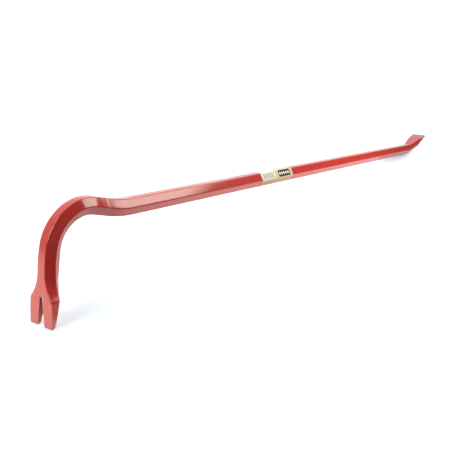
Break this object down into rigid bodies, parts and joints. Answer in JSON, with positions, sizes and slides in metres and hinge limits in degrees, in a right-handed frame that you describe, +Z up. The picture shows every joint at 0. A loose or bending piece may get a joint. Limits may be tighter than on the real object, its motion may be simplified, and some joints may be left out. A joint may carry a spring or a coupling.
{
  "type": "crowbar",
  "caption": "Gooseneck crowbar: a hexagonal bar bent into a hook with a forked nail claw at one end and a short upturned chisel at the other, with a label wrapped around its shaft.",
  "frame": {"origin": "centre of the part's bounding box in plan, on the floor that the two claw tips and the heel bend rest on", "axes": "+X from the claw end to the chisel end, +Z up, +Y across the bar; the bar's mirror plane is Y = 0"},
  "size_m": [0.9886, 0.0326, 0.1139],
  "materials": {
    "red_enamel": "satin red enamel over forged steel",
    "printed_label": "semi-gloss printed film"
  },
  "bodies": {
    "root": {"forged_bar": "red_enamel", "wrap_label": "printed_label"}
  },
  "joints": []
}
